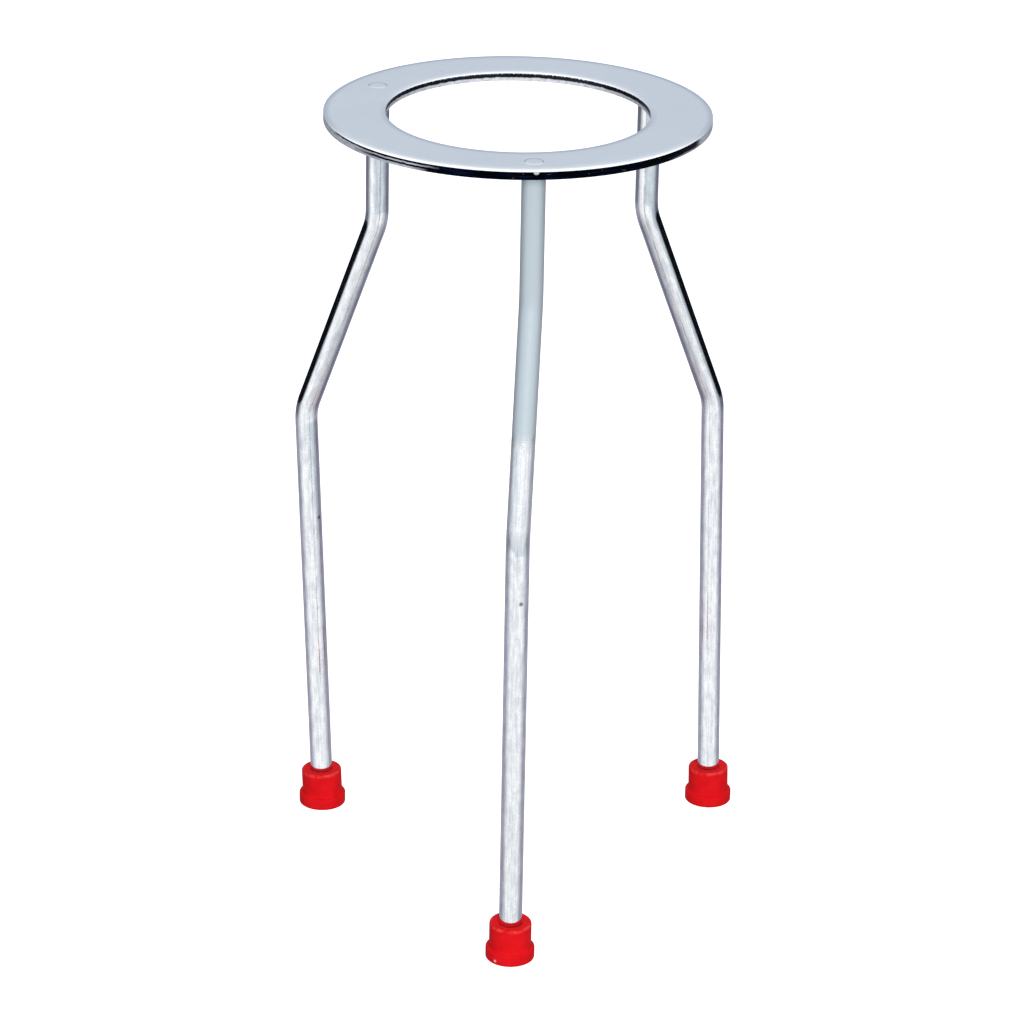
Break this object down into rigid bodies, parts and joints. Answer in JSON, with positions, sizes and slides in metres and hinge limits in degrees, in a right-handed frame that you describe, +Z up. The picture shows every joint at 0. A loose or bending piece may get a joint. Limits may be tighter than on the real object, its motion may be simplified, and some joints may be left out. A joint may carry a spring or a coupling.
{
  "type": "lab tripod stand",
  "caption": "Lab tripod stand: a flat bright ring plate on bent rod legs with red push-on feet, which holds a gauze or dish over a burner.",
  "frame": {"origin": "on the ring's axis, on the floor that the feet stand on", "axes": "+Z up along the ring's axis, +X to the right, -Y towards the front leg"},
  "size_m": [0.1233, 0.1172, 0.2133],
  "materials": {
    "bright_plate": "bright plated, flat and polished",
    "bright_rod": "bright plated over drawn rod, faintly streaked along its length",
    "red_rubber": "moulded, semi-gloss"
  },
  "bodies": {
    "root": {"ring": "bright_plate", "leg_front": "bright_rod", "leg_right": "bright_rod", "leg_left": "bright_rod", "foot_front": "red_rubber", "foot_right": "red_rubber", "foot_left": "red_rubber"}
  },
  "joints": []
}
